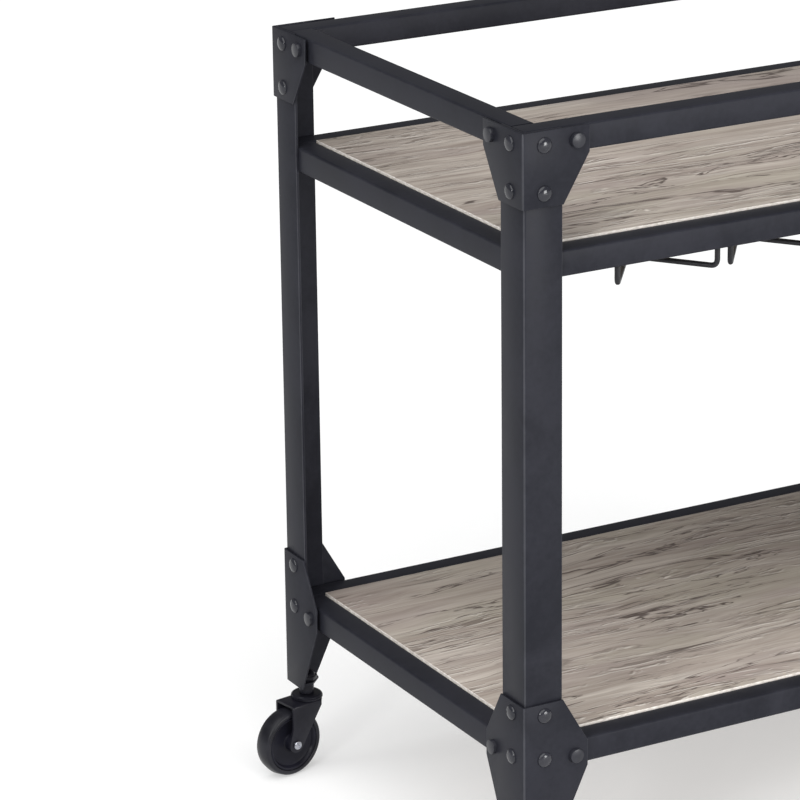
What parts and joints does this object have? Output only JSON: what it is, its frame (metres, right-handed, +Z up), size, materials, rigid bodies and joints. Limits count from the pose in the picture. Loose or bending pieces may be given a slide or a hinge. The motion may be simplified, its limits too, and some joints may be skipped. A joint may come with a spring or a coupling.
{
  "type": "bar cart",
  "caption": "Rolling bar cart with an angle-iron frame, riveted corner plates, two wooden shelves, wire stemware hangers under the upper shelf and swivel casters.",
  "frame": {"origin": "on the floor under the middle of the cart, midway between the outer faces of the posts", "axes": "+Z up, +X along the length to the right, -Y the front, the side from which the stemware hangers are loaded"},
  "size_m": [0.9386, 0.5096, 0.82],
  "materials": {
    "frame_steel": "satin powder coat",
    "shelf_wood": "matt weathered grey-beige grain",
    "hanger_wire": "satin powder coat",
    "caster_black": "semi-gloss",
    "wheel_plastic": "moulded",
    "tyre_rubber": "matt",
    "zinc_steel": "bright zinc"
  },
  "bodies": {
    "frame": {"post_front_left": "frame_steel", "corner_plate_front_left": "frame_steel", "leg_plate_front_left": "frame_steel", "caster_stem_front_left": "caster_black", "post_front_right": "frame_steel", "corner_plate_front_right": "frame_steel", "leg_plate_front_right": "frame_steel", "caster_stem_front_right": "caster_black", "post_back_right": "frame_steel", "corner_plate_back_right": "frame_steel", "leg_plate_back_right": "frame_steel", "caster_stem_back_right": "caster_black", "post_back_left": "frame_steel", "corner_plate_back_left": "frame_steel", "leg_plate_back_left": "frame_steel", "caster_stem_back_left": "caster_black", "top_rail_front": "frame_steel", "top_rail_back": "frame_steel", "top_rail_left": "frame_steel", "top_rail_right": "frame_steel", "upper_shelf_rail_front": "frame_steel", "upper_shelf_rail_back": "frame_steel", "upper_shelf_rail_left": "frame_steel", "upper_shelf_rail_right": "frame_steel", "lower_shelf_rail_front": "frame_steel", "lower_shelf_rail_back": "frame_steel", "lower_shelf_rail_left": "frame_steel", "lower_shelf_rail_right": "frame_steel", "upper_shelf_panel": "shelf_wood", "upper_shelf_ledge_front": "frame_steel", "upper_shelf_ledge_back": "frame_steel", "lower_shelf_panel": "shelf_wood", "lower_shelf_ledge_front": "frame_steel", "lower_shelf_ledge_back": "frame_steel", "stemware_hanger_1": "hanger_wire", "stemware_hanger_2": "hanger_wire", "stemware_hanger_3": "hanger_wire", "stemware_hanger_4": "hanger_wire", "stemware_hanger_5": "hanger_wire"},
    "caster_front_left": {"swivel_ring_front_left": "caster_black", "caster_fork_front_left": "caster_black", "wheel_axle_front_left": "zinc_steel"},
    "wheel_front_left": {"wheel_hub_front_left": "wheel_plastic", "wheel_tyre_front_left": "tyre_rubber"},
    "caster_front_right": {"swivel_ring_front_right": "caster_black", "caster_fork_front_right": "caster_black", "wheel_axle_front_right": "zinc_steel"},
    "wheel_front_right": {"wheel_hub_front_right": "wheel_plastic", "wheel_tyre_front_right": "tyre_rubber"},
    "caster_back_right": {"swivel_ring_back_right": "caster_black", "caster_fork_back_right": "caster_black", "wheel_axle_back_right": "zinc_steel"},
    "wheel_back_right": {"wheel_hub_back_right": "wheel_plastic", "wheel_tyre_back_right": "tyre_rubber"},
    "caster_back_left": {"swivel_ring_back_left": "caster_black", "caster_fork_back_left": "caster_black", "wheel_axle_back_left": "zinc_steel"},
    "wheel_back_left": {"wheel_hub_back_left": "wheel_plastic", "wheel_tyre_back_left": "tyre_rubber"}
  },
  "joints": [
    {"name": "swivel_front_left", "type": "hinge", "parent": "frame", "child": "caster_front_left", "pos_m": [-0.4055, -0.235, 0.08], "axis": [0, 0, 1], "continuous": true},
    {"name": "roll_front_left", "type": "hinge", "parent": "caster_front_left", "child": "wheel_front_left", "pos_m": [-0.43111, -0.23049, 0.0375], "axis": [-0.1736, -0.9848, 0], "continuous": true},
    {"name": "swivel_front_right", "type": "hinge", "parent": "frame", "child": "caster_front_right", "pos_m": [0.4055, -0.235, 0.08], "axis": [0, 0, 1], "continuous": true},
    {"name": "roll_front_right", "type": "hinge", "parent": "caster_front_right", "child": "wheel_front_right", "pos_m": [0.43111, -0.23049, 0.0375], "axis": [-0.1736, 0.9848, 0], "continuous": true},
    {"name": "swivel_back_right", "type": "hinge", "parent": "frame", "child": "caster_back_right", "pos_m": [0.4055, 0.235, 0.08], "axis": [0, 0, 1], "continuous": true},
    {"name": "roll_back_right", "type": "hinge", "parent": "caster_back_right", "child": "wheel_back_right", "pos_m": [0.43111, 0.23049, 0.0375], "axis": [0.1736, 0.9848, 0], "continuous": true},
    {"name": "swivel_back_left", "type": "hinge", "parent": "frame", "child": "caster_back_left", "pos_m": [-0.4055, 0.235, 0.08], "axis": [0, 0, 1], "continuous": true},
    {"name": "roll_back_left", "type": "hinge", "parent": "caster_back_left", "child": "wheel_back_left", "pos_m": [-0.43111, 0.23049, 0.0375], "axis": [0.1736, -0.9848, 0], "continuous": true}
  ]
}
